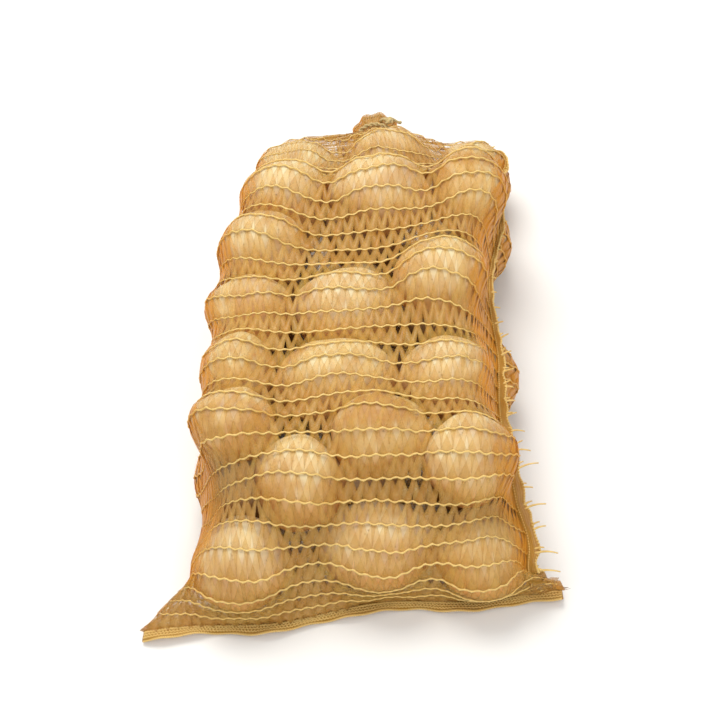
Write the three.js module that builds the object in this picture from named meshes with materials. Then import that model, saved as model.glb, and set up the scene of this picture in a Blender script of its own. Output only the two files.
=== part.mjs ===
// A knitted net sack full of potatoes, lying on its back: foot towards -Y, tied mouth towards +Y, +Z up.
// Millimetres. The origin is the middle of the bounding box, on the surface that the sack lies on.
import * as THREE from "three";
import { mergeVertices } from "three/addons/utils/BufferGeometryUtils.js";

// Driving dimensions of the filling
const pileLength = 450; // potatoes, foot to mouth
const pileFootWidth = 248; // the filled sack is wider at its foot
const pileMouthWidth = 216;
const upperWidth = 0.94; // of the upper layer, as a share of the lower one's
const potatoLength = 80; // a middling potato; the table below gives each one its share
const potatoWidth = 68;
const potatoDepth = 62;

// Driving dimensions of the sack
const netWall = 1.2; // knitted net, one layer
const seatGap = 0.3; // between pieces that touch
const sackWidth = 288; // flat, corner to corner at the foot
const hemSkew = 0.12; // the left corner lies nearer than the right
const hemReach = 9;
const hemThick = 4.2; // net folded twice and stitched
const hemRuffle = 3; // how far the hem's free edge waves to and fro
const seamReach = 8; // side seam, standing out from the net
const seamThick = 2.6;
const neckRadius = 13; // mouth drawn together
const neckClear = 1; // from the end of the pile to the neck
const neckHeight = 21;
const neckDroop = 25; // degrees
const frillLength = 17; // net beyond the drawstring
const frillRadius = 19;
const frillPleats = 9;
const cordThick = 3.2; // drawstring
const knotSize = 9;

// Mesh density
const ringCount = 30; // cross-sections of the net between hem and neck
const aroundCount = 36; // points round one cross-section
const frillRings = 4;

// Potatoes. across is a share of the pile's width where the potato lies and along of its length, both from the
// middle. level is a share of potatoDepth above the surface. long, wide and deep are shares of the middling
// potato. turn and lean are angles in degrees. The potatoes that don't show have a coarser mesh.
const potatoColumns = ["name", "across", "along", "level", "long", "wide", "deep", "turn", "lean", "detail"];
const potatoRows = [
  // foot row, on the surface
  ["foot_left", -0.3, -0.415, 0.55, 0.86, 0.95, 1.0, 30, 0, 2],
  ["foot_middle", 0.07, -0.385, 0.55, 1.04, 0.95, 1.0, -5, 0, 2],
  ["foot_right", 0.37, -0.385, 0.55, 0.9, 0.96, 1.0, 70, 0, 2],
  // lower layer
  ["low_1", -0.33, -0.25, 0.55, 0.98, 1.0, 1.0, 75, 0, 2],
  ["low_2", 0.0, -0.23, 0.55, 0.96, 0.98, 1.0, 100, 0, 1],
  ["low_3", 0.32, -0.23, 0.55, 0.95, 1.0, 0.98, 85, 0, 1],
  ["low_4", -0.31, -0.08, 0.55, 0.94, 0.98, 1.0, 95, 0, 1],
  ["low_5", 0.0, -0.07, 0.55, 0.95, 0.96, 1.0, 70, 0, 1],
  ["low_6", 0.32, -0.06, 0.55, 0.94, 0.98, 1.0, 90, 0, 1],
  ["low_7", -0.33, 0.09, 0.55, 0.95, 0.98, 1.0, 80, 0, 1],
  ["low_8", 0.0, 0.1, 0.55, 0.94, 0.98, 1.02, 105, 0, 1],
  ["low_9", 0.3, 0.11, 0.55, 0.93, 0.98, 1.0, 90, 0, 1],
  ["low_10", -0.31, 0.25, 0.55, 0.93, 0.96, 0.98, 100, 0, 1],
  ["low_11", 0.0, 0.27, 0.55, 0.95, 0.96, 1.0, 80, 0, 1],
  ["low_12", 0.3, 0.22, 0.55, 0.9, 0.95, 0.98, 95, 0, 1],
  // upper layer, foot to mouth
  ["top_1", -0.1, -0.315, 1.3, 0.8, 0.96, 1.0, 10, 0, 2],
  ["top_2", 0.16, -0.29, 1.3, 0.86, 0.86, 0.94, -5, 0, 2],
  ["top_3", 0.37, -0.3, 1.3, 0.78, 0.9, 0.95, 60, 0, 2],
  ["top_4", -0.31, -0.25, 1.2, 0.72, 0.78, 0.88, 10, 0, 2],
  ["top_5", -0.29, -0.14, 1.3, 0.7, 0.74, 0.88, 80, 0, 2],
  ["top_6", -0.07, -0.145, 1.4, 1.06, 0.9, 1.0, 4, 0, 2],
  ["top_7", 0.24, -0.14, 1.3, 0.84, 0.86, 0.96, -8, 0, 2],
  ["top_8", -0.33, -0.02, 1.2, 0.8, 0.82, 0.92, -10, 0, 2],
  ["top_9", -0.03, -0.01, 1.4, 0.98, 0.88, 0.96, 10, 0, 2],
  ["top_10", 0.25, 0.04, 1.3, 0.84, 0.94, 0.98, 15, 0, 2],
  ["top_11", -0.31, 0.1, 1.2, 0.8, 0.84, 0.92, 20, 0, 2],
  ["top_12", -0.19, 0.215, 1.3, 0.78, 0.82, 0.94, 10, 0, 2],
  ["top_13", 0.07, 0.225, 1.4, 0.98, 0.86, 1.0, -5, 0, 2],
  ["top_14", 0.35, 0.23, 1.3, 0.86, 0.82, 0.96, 80, 0, 2],
  // mouth end
  ["end_1", -0.22, 0.385, 0.55, 0.9, 0.86, 1.0, 10, 0, 2],
  ["end_2", 0.06, 0.405, 0.6, 0.9, 0.86, 1.08, 0, 0, 2],
  ["end_3", 0.31, 0.36, 0.55, 0.8, 0.9, 0.94, 60, 0, 2],
];

const floorOfPile = netWall + seatGap;
const down = new THREE.Vector3(0, 0, -1);

// A repeatable random number from 0 to 1 for the n-th draw of a potato
function draw(seed, n) {
  const s = Math.sin(seed * 127.1 + n * 311.7) * 43758.5453;
  return s - Math.floor(s);
}

// How wide the pile is at a place along it
function widthAt(y) {
  return THREE.MathUtils.lerp(pileFootWidth, pileMouthWidth, THREE.MathUtils.clamp(y / pileLength + 0.5, 0, 1));
}

// A few slow waves over the skin make each potato lumpy in its own way
function makeWaves(seed) {
  const lumpHeight = 0.028; // share of the radius, each wave
  return [0, 1, 2, 3, 4].map((n) => ({
    axis: new THREE.Vector3(draw(seed, n) - 0.5, draw(seed, n + 10) - 0.5, draw(seed, n + 20) - 0.5).normalize(),
    pitch: 3.2 + 3.4 * draw(seed, n + 30),
    phase: 2 * Math.PI * draw(seed, n + 40),
    height: lumpHeight,
  }));
}

// The radius of a potato in a direction, as a share of the plain ellipsoid's
function skinShare(potato, direction) {
  return potato.waves.reduce((share, w) => share + w.height * Math.sin(w.pitch * w.axis.dot(direction) + w.phase), 1);
}

function makePotato(row, index) {
  const spec = Object.fromEntries(potatoColumns.map((column, i) => [column, row[i]]));
  const along = spec.along * pileLength;
  const potato = {
    name: "potato_" + spec.name,
    half: new THREE.Vector3(spec.long * potatoLength, spec.wide * potatoWidth, spec.deep * potatoDepth).divideScalar(2),
    turn: new THREE.Quaternion().setFromEuler(
      new THREE.Euler(THREE.MathUtils.degToRad(spec.lean), 0, THREE.MathUtils.degToRad(spec.turn), "ZXY"),
    ),
    waves: makeWaves(index + 1),
    place: new THREE.Vector3(spec.across * widthAt(along), along, floorOfPile + spec.level * potatoDepth),
    corners: [],
  };
  potato.home = potato.place.clone();
  potato.back = potato.turn.clone().invert();
  const ball = new THREE.IcosahedronGeometry(1, Math.round(spec.detail));
  ball.deleteAttribute("normal");
  ball.deleteAttribute("uv");
  potato.geometry = mergeVertices(ball, 1e-4);
  const positions = potato.geometry.getAttribute("position");
  for (let i = 0; i < positions.count; i++) {
    const direction = new THREE.Vector3().fromBufferAttribute(positions, i).normalize();
    const corner = direction.clone().multiplyScalar(skinShare(potato, direction)).multiply(potato.half);
    positions.setXYZ(i, corner.x, corner.y, corner.z);
    potato.corners.push(corner.applyQuaternion(potato.turn));
  }
  potato.reach = Math.max(...potato.corners.map((corner) => corner.length())) * 1.03;
  return potato;
}

// The corner of a potato that lies furthest in a direction, measured from its middle
function furthest(potato, direction, sign = 1) {
  let best = -Infinity;
  let found = null;
  for (const corner of potato.corners) {
    const reach = sign * corner.dot(direction);
    if (reach > best) {
      best = reach;
      found = corner;
    }
  }
  return found;
}

// How far two potatoes are apart, found by turning the direction between them until the gap is widest
function gapBetween(a, b, direction, turns) {
  let gap = -Infinity;
  const best = new THREE.Vector3();
  const between = new THREE.Vector3();
  for (let n = 0; n < turns; n++) {
    between.copy(b.place).add(furthest(b, direction, -1));
    between.sub(a.place).sub(furthest(a, direction));
    const now = between.dot(direction);
    if (now > gap) {
      gap = now;
      best.copy(direction);
    }
    between.addScaledVector(direction, -now);
    direction.addScaledVector(between, 0.5 / potatoWidth).normalize();
  }
  direction.copy(best);
  return gap;
}

const tooFar = (a, b) => a.place.distanceTo(b.place) > 1.25 * Math.max(potatoLength, potatoWidth, potatoDepth);

// Lets the potatoes sink and push each other aside inside the sack until they lie without overlapping
function settle(potatoes) {
  const rounds = 240;
  const sink = 0.012 * potatoDepth;
  const sideways = new THREE.Vector3(1, 0, 0);
  const lengthwise = new THREE.Vector3(0, 1, 0);
  const directions = new Map();
  const directionOf = (a, b) => {
    const pair = a.name + b.name;
    if (!directions.has(pair)) directions.set(pair, b.place.clone().sub(a.place).normalize());
    return directions.get(pair);
  };
  for (let round = 0; round < rounds; round++) {
    const calm = 1 - round / rounds;
    for (const p of potatoes) {
      p.place.z -= sink * calm;
      p.place.x += (p.home.x - p.place.x) * 0.1 * calm;
      p.place.y += (p.home.y - p.place.y) * 0.1 * calm;
    }
    potatoes.forEach((a, i) => {
      for (const b of potatoes.slice(i + 1)) {
        if (tooFar(a, b)) continue;
        const direction = directionOf(a, b);
        const gap = gapBetween(a, b, direction, 3);
        if (gap >= seatGap) continue;
        a.place.addScaledVector(direction, (gap - seatGap) / 2);
        b.place.addScaledVector(direction, (seatGap - gap) / 2);
      }
    });
    for (const p of potatoes) {
      const halfWidth = (widthAt(p.place.y) / 2) * (p.place.z > potatoDepth ? upperWidth : 1);
      const side = halfWidth - furthest(p, sideways, Math.sign(p.place.x)).x * Math.sign(p.place.x);
      p.place.x = THREE.MathUtils.clamp(p.place.x, -side, side);
      p.place.z = Math.max(p.place.z, floorOfPile - furthest(p, down).z);
      p.place.y = Math.min(p.place.y, pileLength / 2 - furthest(p, lengthwise).y);
    }
  }
  seat(potatoes);
}

// Lifts what still overlaps and lowers the rest, lowest first, until each one touches what is under it
function seat(potatoes) {
  const step = 0.5;
  const closeness = 0.01;
  const turns = 30;
  const order = [...potatoes].sort((a, b) => a.place.z - b.place.z);
  const clear = (p, under) =>
    p.place.z + furthest(p, down).z >= floorOfPile &&
    under.every((o) => tooFar(o, p) || gapBetween(o, p, p.place.clone().sub(o.place).normalize(), turns) >= seatGap);
  order.forEach((p, i) => {
    const under = order.slice(0, i);
    while (!clear(p, under)) p.place.z += step;
    while (clear(p, under)) p.place.z -= step;
    let blocked = p.place.z;
    let free = blocked + step;
    while (free - blocked > closeness) {
      p.place.z = (blocked + free) / 2;
      if (clear(p, under)) free = p.place.z;
      else blocked = p.place.z;
    }
    p.place.z = free;
  });
}

// The slack sack, before it is stretched over the potatoes: cross-sections from foot to neck. The crest is the top
// of a cross-section and the keel its bottom. Along, width and aside, how far its middle lies to the right, are
// shares of the pile's length and width, and the height is one of potatoDepth.
const stationColumns = ["crestAlong", "crestHeight", "keelAlong", "width", "aside"];
const stationRows = [
  [-0.46, 0.08, -0.46, sackWidth / pileFootWidth, 0],
  [-0.472, 0.8, -0.412, 1.08, 0],
  [-0.4, 1.5, -0.32, 1.03, 0.005],
  [-0.285, 1.85, -0.225, 0.99, 0.01],
  [-0.165, 1.92, -0.125, 0.97, 0.012],
  [-0.05, 1.92, -0.025, 0.98, 0.005],
  [0.07, 1.92, 0.075, 0.98, 0],
  [0.19, 1.9, 0.175, 0.98, -0.005],
  [0.305, 1.8, 0.275, 0.94, 0.005],
  [0.41, 1.4, 0.38, 0.87, 0.01],
  [0.48, 0.98, 0.47, 0.7, -0.03],
];

// One number for each station as a smooth curve over the way from foot to neck
function stationCurve(column) {
  const at = stationColumns.indexOf(column);
  const points = stationRows.map((row, k) => new THREE.Vector2(k, row[at]));
  return new THREE.SplineCurve(points);
}

// Evenly spaced points round a rounded rectangle, from the middle of the right side over the top
function roundedRing(halfWidth, halfHeight, cornerRadius) {
  const corner = Math.min(cornerRadius, halfWidth, halfHeight);
  const side = halfHeight - corner;
  const bend = (corner * Math.PI) / 2;
  const quarter = side + bend + halfWidth - corner;
  return Array.from({ length: aroundCount }, (_, i) => {
    const turn = i / aroundCount;
    const half = turn < 0.5 ? 2 * turn : 2 - 2 * turn;
    const way = quarter * (half < 0.5 ? 2 * half : 2 - 2 * half);
    const angle = THREE.MathUtils.clamp((way - side) / corner, 0, Math.PI / 2);
    const flat = Math.max(way - side - bend, 0);
    const x = halfWidth - corner + corner * Math.cos(angle) - flat;
    const z = Math.min(way, side) + corner * Math.sin(angle);
    return new THREE.Vector2(half < 0.5 ? x : -x, turn < 0.5 ? z : -z);
  });
}

// How far the hem line of the foot lies behind or before a straight line across, most of it in the middle
function hemSway(x) {
  const waves = 1.8;
  const share = x / sackWidth;
  return hemSkew * x + 1.5 * hemRuffle * Math.sin(2 * Math.PI * (waves * share + 0.125)) * (1 - 4 * share * share);
}

function slackRings() {
  const cornerRadius = 0.5 * potatoWidth;
  const curves = stationColumns.map(stationCurve);
  const rings = [];
  for (let j = 0; j < ringCount; j++) {
    const at = curves.map((curve) => curve.getPoint(j / (ringCount - 1)).y);
    const [crestAlong, crestHeight, keelAlong, width, aside] = at;
    const keel = new THREE.Vector3(0, keelAlong * pileLength, netWall);
    const crest = new THREE.Vector3(0, crestAlong * pileLength, netWall + crestHeight * potatoDepth);
    const halfHeight = crest.distanceTo(keel) / 2;
    const halfWidth = (width * widthAt(crest.y)) / 2;
    const sway = Math.max(1 - j / 4, 0);
    rings.push(
      roundedRing(halfWidth, halfHeight, cornerRadius).map(({ x, y }) => {
        const point = keel.clone().lerp(crest, (y / halfHeight + 1) / 2);
        return point.setX(x + aside * widthAt(crest.y)).setY(point.y + sway * hemSway(x));
      }),
    );
  }
  return rings;
}

const neckFrame = new THREE.Matrix4()
  .makeRotationX(THREE.MathUtils.degToRad(-neckDroop))
  .setPosition(0, pileLength / 2 + neckClear, neckHeight);

// A ring round the neck's axis, some way behind the neck, none of it under the surface
function neckRing(behind, radiusAt) {
  return Array.from({ length: aroundCount }, (_, i) => {
    const angle = (2 * Math.PI * i) / aroundCount;
    const radius = radiusAt(angle);
    const point = new THREE.Vector3(radius * Math.cos(angle), behind, radius * Math.sin(angle));
    point.applyMatrix4(neckFrame);
    point.z = Math.max(point.z, 2 * netWall);
    return point;
  });
}

// The direction out of the net at each of its points
function normalsOf(rings) {
  return rings.map((ring, j) =>
    ring.map((_, i) => {
      const after = rings[Math.min(j + 1, rings.length - 1)][i];
      const before = rings[Math.max(j - 1, 0)][i];
      const left = ring[(i + 1) % aroundCount];
      const right = ring[(i + aroundCount - 1) % aroundCount];
      return after.clone().sub(before).cross(left.clone().sub(right)).normalize();
    }),
  );
}

// The same directions evened out over the neighbours, so that bumps don't turn them
function evenNormalsOf(rings) {
  const passes = 4;
  let normals = normalsOf(rings);
  for (let pass = 0; pass < passes; pass++) {
    normals = normals.map((ring, j) =>
      ring.map((normal, i) => {
        const sum = normal.clone().add(ring[(i + 1) % aroundCount]).add(ring[(i + aroundCount - 1) % aroundCount]);
        sum.add(normals[Math.min(j + 1, normals.length - 1)][i]).add(normals[Math.max(j - 1, 0)][i]);
        return sum.normalize();
      }),
    );
  }
  return normals;
}

// Corners, edge middles and facet middles of the potatoes, each with the triangles of the net that lie near it
function findMeetings(rings, potatoes) {
  const nearby = 24;
  const triangles = [];
  for (let j = 0; j < rings.length - 1; j++) {
    for (let i = 0; i < aroundCount; i++) {
      const next = (i + 1) % aroundCount;
      for (const corners of [[[j, i], [j + 1, i], [j + 1, next]], [[j, i], [j + 1, next], [j, next]]]) {
        const middle = new THREE.Vector3();
        for (const [jj, ii] of corners) middle.addScaledVector(rings[jj][ii], 1 / 3);
        triangles.push({ corners, middle });
      }
    }
  }
  const meetings = [];
  for (const p of potatoes) {
    const index = p.geometry.getIndex().array;
    const corners = p.corners.map((corner) => corner.clone().add(p.place));
    const probes = [...corners];
    for (let k = 0; k < index.length; k += 3) {
      const facet = [index[k], index[k + 1], index[k + 2]];
      const middle = new THREE.Vector3();
      for (const n of facet) middle.addScaledVector(corners[n], 1 / 3);
      probes.push(middle);
      facet.forEach((n, m) => {
        const other = facet[(m + 1) % 3];
        if (n < other) probes.push(corners[n].clone().lerp(corners[other], 0.5));
      });
    }
    const close = triangles.filter(({ middle }) => middle.distanceTo(p.place) < p.reach + nearby);
    for (const probe of probes) {
      const near = close.filter(({ middle }) => middle.distanceToSquared(probe) < nearby * nearby);
      if (near.length) meetings.push({ probe, near: near.map(({ corners }) => corners) });
    }
  }
  return meetings;
}

// Stretches the net along the sack, so that it spans from potato to potato. Each point moves only in and out.
function stretch(rings, potatoes) {
  const rounds = 50;
  const lastRounds = 120; // without any pull, to clear the potatoes
  const lengthwise = 0.65; // share of the pull that runs along the sack
  const clearance = 2.7 * seatGap;
  const heldRings = 2; // at the foot, where the net is sewn flat and keeps its form
  const normals = evenNormalsOf(rings);
  const meetings = findMeetings(rings, potatoes);
  const last = rings.length - 1;
  const target = new THREE.Vector3();
  const triangle = new THREE.Triangle();
  const plane = new THREE.Plane();
  const shares = new THREE.Vector3();
  const push = ([j, i], amount) => {
    if (j === 0 || j === last) return;
    rings[j][i].addScaledVector(normals[j][i], amount);
    rings[j][i].z = Math.max(rings[j][i].z, netWall);
  };
  const clear = ({ probe, near }) => {
    let nearest = Infinity;
    let found = null;
    for (const corners of near) {
      const [a, b, c] = corners.map(([j, i]) => rings[j][i]);
      triangle.set(a, b, c).closestPointToPoint(probe, target);
      const far = target.distanceTo(probe);
      if (far >= nearest) continue;
      nearest = far;
      found = { corners, a, b, c, touch: target.clone() };
    }
    plane.setFromCoplanarPoints(found.a, found.b, found.c);
    const depth = clearance + (plane.distanceToPoint(probe) > 0 ? nearest : -nearest);
    if (depth <= 0 || !THREE.Triangle.getBarycoord(found.touch, found.a, found.b, found.c, shares)) return;
    shares.multiplyScalar(depth / shares.lengthSq());
    found.corners.forEach((corner, k) => push(corner, shares.getComponent(k)));
  };
  for (let round = 0; round < rounds + lastRounds; round++) {
    for (let j = heldRings; j < last && round < rounds; j++) {
      rings[j].forEach((point, i) => {
        target.copy(rings[j - 1][i]).add(rings[j + 1][i]).multiplyScalar(lengthwise / 2);
        target.addScaledVector(rings[j][(i + 1) % aroundCount], (1 - lengthwise) / 2);
        target.addScaledVector(rings[j][(i + aroundCount - 1) % aroundCount], (1 - lengthwise) / 2);
        point.addScaledVector(normals[j][i], target.sub(point).dot(normals[j][i]));
        point.z = Math.max(point.z, netWall);
      });
    }
    for (const meeting of meetings) clear(meeting);
  }
}

// The gathered net beyond the drawstring: a short straight stretch for the cord, then pleats that open
function frillOf() {
  const straight = 2.4 * cordThick;
  const rings = [neckRing(straight, () => neckRadius)];
  for (let j = 1; j <= frillRings; j++) {
    const share = j / frillRings;
    const middle = THREE.MathUtils.lerp(neckRadius, frillRadius, Math.sqrt(share));
    const pleat = 0.16 * share * frillRadius;
    const radiusAt = (angle) => middle + pleat * Math.cos(frillPleats * angle);
    rings.push(neckRing(straight + share * frillLength, radiusAt));
  }
  return rings;
}

// Each ring moved out by the thickness of the net, and flat where the sack lies on the surface
function outerRings(inner) {
  const flattened = 0.5 * netWall;
  const normals = normalsOf(inner);
  return inner.map((ring, j) =>
    ring.map((point, i) => {
      const outside = point.clone().addScaledVector(normals[j][i], netWall);
      if (outside.z < flattened) outside.z = 0;
      return outside;
    }),
  );
}

// Which cells of the net are cut through: staggered, and none where the sack lies on the surface
function isGap(j, i, outer) {
  const everyRing = 2;
  const everyColumn = 3;
  const lowest = 4 * netWall;
  if (j < 2 || j > ringCount - 4 || j % everyRing) return false;
  if ((i + (j / everyRing) * 2) % everyColumn || i === 0 || i === aroundCount - 1) return false;
  return outer[j][i].z > lowest && outer[j + 1][(i + 1) % aroundCount].z > lowest;
}

// A closed mesh from corners and quads
function meshOf(name, material, points, faces) {
  const geometry = new THREE.BufferGeometry();
  geometry.setAttribute("position", new THREE.Float32BufferAttribute(points.flatMap((p) => p.toArray()), 3));
  geometry.setIndex(faces.flatMap(([a, b, c, d]) => (d === undefined ? [a, b, c] : [a, b, c, a, c, d])));
  geometry.computeVertexNormals();
  const mesh = new THREE.Mesh(geometry, material);
  mesh.name = name;
  return mesh;
}

// The net as a wall between two sets of rings, closed flat at the foot and open at the neck
function makeNet(inner, outer, material) {
  const last = outer.length - 1;
  const points = [...outer.flat(), ...inner.flat()];
  const out = (j, i) => j * aroundCount + (i % aroundCount);
  const into = (j, i) => outer.length * aroundCount + out(j, i);
  const faces = [];
  for (let j = 0; j < last; j++) {
    for (let i = 0; i < aroundCount; i++) {
      const cell = [out(j, i), out(j + 1, i), out(j + 1, i + 1), out(j, i + 1)];
      const lining = [into(j, i), into(j + 1, i), into(j + 1, i + 1), into(j, i + 1)];
      if (isGap(j, i, outer)) {
        cell.forEach((corner, k) => faces.push([corner, cell[(k + 1) % 4], lining[(k + 1) % 4], lining[k]]));
      } else {
        faces.push(cell, [lining[0], lining[3], lining[2], lining[1]]);
      }
    }
  }
  for (let i = 0; i < aroundCount; i++) {
    faces.push([out(last, i), into(last, i), into(last, i + 1), out(last, i + 1)]);
  }
  for (let i = 0; i < aroundCount / 2; i++) {
    const cap = [...new Set([i, i + 1, aroundCount - i - 1, aroundCount - i].map((k) => k % aroundCount))];
    faces.push(cap.map((k) => out(0, k)), cap.map((k) => into(0, k)).reverse());
  }
  return meshOf("net_wall", material, points, faces);
}

// A closed bar from cross-sections of four corners each
function makeBar(name, sections, material) {
  const faces = [[0, 1, 2, 3]];
  for (let j = 0; j < sections.length - 1; j++) {
    for (let k = 0; k < 4; k++) {
      const [a, b] = [4 * j + k, 4 * j + ((k + 1) % 4)];
      faces.push([a, a + 4, b + 4, b]);
    }
  }
  const end = 4 * (sections.length - 1);
  faces.push([end + 3, end + 2, end + 1, end]);
  return meshOf(name, material, sections.flat(), faces);
}

// The hem lies before the flat foot of the net, from corner to corner, and waves up and down at its free edge
function makeHem(foot, material) {
  const waves = 5;
  const sections = foot.slice(0, aroundCount / 2 + 1).map(({ x, y }) => {
    const lift = (hemRuffle / 2) * (1 + Math.sin((2 * Math.PI * waves * x) / sackWidth));
    const back = y - seatGap;
    return [
      new THREE.Vector3(x, back, 0),
      new THREE.Vector3(x, back, hemThick),
      new THREE.Vector3(x, back - hemReach, lift + 0.8 * hemThick),
      new THREE.Vector3(x, back - hemReach, lift),
    ];
  });
  return makeBar("foot_hem", sections, material);
}

// The seam stands out from the right side of the net like a fin, less and less towards the mouth
function makeSeam(outer, normals, material) {
  const sections = [];
  const mouthShare = 0.3; // of seamReach, from the middle of the sack on
  for (let j = 1; j < ringCount - 2; j++) {
    const outward = normals[j][0];
    const along = outer[j + 1][0].clone().sub(outer[j - 1][0]);
    const across = along.cross(outward).normalize().multiplyScalar(seamThick / 2);
    const base = outer[j][0].clone().addScaledVector(outward, seatGap);
    const taper = THREE.MathUtils.clamp(1.5 - (2 * j) / ringCount, mouthShare, 1);
    const edge = base.clone().addScaledVector(outward, taper * seamReach);
    const narrow = 0.5;
    sections.push([
      base.clone().addScaledVector(across, -narrow),
      base.clone().addScaledVector(across, narrow),
      edge.clone().add(across),
      edge.clone().sub(across),
    ]);
  }
  return makeBar("side_seam", sections, material);
}

// The drawstring goes once round the neck, in the middle of its straight stretch
function makeCord(material) {
  const radius = neckRadius + netWall + seatGap + cordThick / 2;
  const cord = new THREE.TorusGeometry(radius, cordThick / 2, 8, 36);
  cord.rotateX(Math.PI / 2).translate(0, 1.2 * cordThick, 0).applyMatrix4(neckFrame);
  const mesh = new THREE.Mesh(cord, material);
  mesh.name = "drawstring";
  return mesh;
}

function makeKnot(material) {
  const angle = THREE.MathUtils.degToRad(60);
  const away = neckRadius + netWall + cordThick + 2 * seatGap + knotSize / 2;
  const knot = new THREE.IcosahedronGeometry(knotSize / 2, 2);
  knot.scale(1, 1.25, 1).translate(away * Math.cos(angle), 1.2 * cordThick, away * Math.sin(angle));
  knot.applyMatrix4(neckFrame);
  const mesh = new THREE.Mesh(knot, material);
  mesh.name = "drawstring_knot";
  return mesh;
}

const potatoes = potatoRows.map(makePotato);
settle(potatoes);
const body = [...slackRings(), neckRing(0, () => neckRadius)];
stretch(body, potatoes);
const lining = [...body, ...frillOf()];
const skin = outerRings(lining);
for (const point of skin[0]) point.y -= netWall;

const root = new THREE.Group();
const netYarn = new THREE.MeshStandardMaterial({ color: 0xe0a83c, roughness: 0.55, metalness: 0 });
const hemYarn = new THREE.MeshStandardMaterial({ color: 0xc08a3a, roughness: 0.6, metalness: 0 });
const cordYarn = new THREE.MeshStandardMaterial({ color: 0xd8c070, roughness: 0.6, metalness: 0 });
const potatoSkin = new THREE.MeshStandardMaterial({ color: 0xd9b878, roughness: 0.75, metalness: 0 });
root.add(makeNet(lining, skin, netYarn));
root.add(makeHem(skin[0], hemYarn));
root.add(makeSeam(skin, normalsOf(lining), hemYarn));
root.add(makeCord(cordYarn));
root.add(makeKnot(cordYarn));
for (const p of potatoes) {
  const mesh = new THREE.Mesh(p.geometry, potatoSkin);
  mesh.name = p.name;
  mesh.position.copy(p.place);
  mesh.quaternion.copy(p.turn);
  root.add(mesh);
}

const box = new THREE.Box3().setFromObject(root, true);
const middle = box.getCenter(new THREE.Vector3()).setZ(box.min.z);
for (const mesh of root.children) mesh.position.sub(middle);

export default root;
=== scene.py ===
import math
import random

import bmesh
import bpy
import numpy as np
from mathutils import Matrix, Vector, noise
from mathutils.bvhtree import BVHTree


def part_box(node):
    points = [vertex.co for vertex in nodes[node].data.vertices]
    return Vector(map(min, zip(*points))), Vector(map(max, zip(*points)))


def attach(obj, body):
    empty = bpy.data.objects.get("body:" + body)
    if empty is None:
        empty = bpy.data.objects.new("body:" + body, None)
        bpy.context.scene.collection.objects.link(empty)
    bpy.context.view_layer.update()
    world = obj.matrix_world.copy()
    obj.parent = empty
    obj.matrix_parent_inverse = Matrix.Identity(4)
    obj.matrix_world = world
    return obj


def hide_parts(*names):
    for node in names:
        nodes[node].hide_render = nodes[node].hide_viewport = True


# A knitted yellow net sack full of potatoes, lying on its back. Everything is in metres, in the CAD's frame.
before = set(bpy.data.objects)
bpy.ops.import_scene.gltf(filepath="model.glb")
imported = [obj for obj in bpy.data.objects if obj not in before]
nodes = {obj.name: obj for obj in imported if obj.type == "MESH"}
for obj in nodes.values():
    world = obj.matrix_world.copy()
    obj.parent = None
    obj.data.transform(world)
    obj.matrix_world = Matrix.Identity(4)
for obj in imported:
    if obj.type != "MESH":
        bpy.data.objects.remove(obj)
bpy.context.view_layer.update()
bpy.ops.object.select_all(action="DESELECT")
print("frame loaded:", len(nodes), "nodes")

# The sack's main sizes, the same as the CAD's
sack = {
    "pileLength": 0.450,  # the potatoes inside, from foot to mouth
    "pileFootWidth": 0.248,
    "pileMouthWidth": 0.216,
    "potatoWidth": 0.068,
    "potatoDepth": 0.062,
    "netWall": 0.0012,
    "sackWidth": 0.288,  # the flat foot, sewn shut
    "hemSkew": 0.12,
    "hemSway": 0.0045,
    "hemWaves": 1.8,
    "seamReach": 0.008,
    "neckRadius": 0.013,
    "neckBehind": 0.226,
    "neckHeight": 0.021,
    "neckDroop": 25,  # degrees
    "cordThick": 0.0032,
    "frillLength": 0.017,
    "frillRadius": 0.019,
    "frillPleats": 9,
    "rounds": 30,  # from foot to neck, the neck being the last
    "slantRounds": 4,  # over which the foot's slant fades out
    # Crest along, crest height, keel along, width and how far aside. They are shares of the pile's length, a
    # potato's depth, the pile's length, and the pile's width twice
    "stations": [
        [-0.46, 0.08, -0.46, 1.161, 0],
        [-0.472, 0.8, -0.412, 1.08, 0],
        [-0.4, 1.5, -0.32, 1.03, 0.005],
        [-0.285, 1.85, -0.225, 0.99, 0.01],
        [-0.165, 1.92, -0.125, 0.97, 0.012],
        [-0.05, 1.92, -0.025, 0.98, 0.005],
        [0.07, 1.92, 0.075, 0.98, 0],
        [0.19, 1.9, 0.175, 0.98, -0.005],
        [0.305, 1.8, 0.275, 0.94, 0.005],
        [0.41, 1.4, 0.38, 0.87, 0.01],
        [0.48, 0.98, 0.47, 0.7, -0.03],
    ],
}
neckTurn = Matrix.Rotation(math.radians(-sack["neckDroop"]), 3, "X")
neckCentre = Vector((0, sack["neckBehind"], sack["neckHeight"]))
neckStraight = 2.4 * sack["cordThick"]  # the straight part that the drawstring lies on, in its middle
cordLow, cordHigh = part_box("drawstring")
# The CAD centres the whole sack, so its middle is found from the drawstring, whose place on the neck is known
shift = (cordLow + cordHigh) / 2 - neckCentre - neckTurn @ Vector((0, neckStraight / 2, 0))
tiny = 1e-12


def unit(vectors):
    return vectors / np.maximum(np.linalg.norm(vectors, axis=-1, keepdims=True), tiny)


def linear(colour):
    channels = [int(colour[k : k + 2], 16) / 255 for k in (1, 3, 5)]
    return [c / 12.92 if c <= 0.04045 else ((c + 0.055) / 1.055) ** 2.4 for c in channels] + [1.0]


def startMaterial(name):
    material = bpy.data.materials.new(name)
    material.use_nodes = True
    material.node_tree.nodes.clear()
    return material


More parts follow.
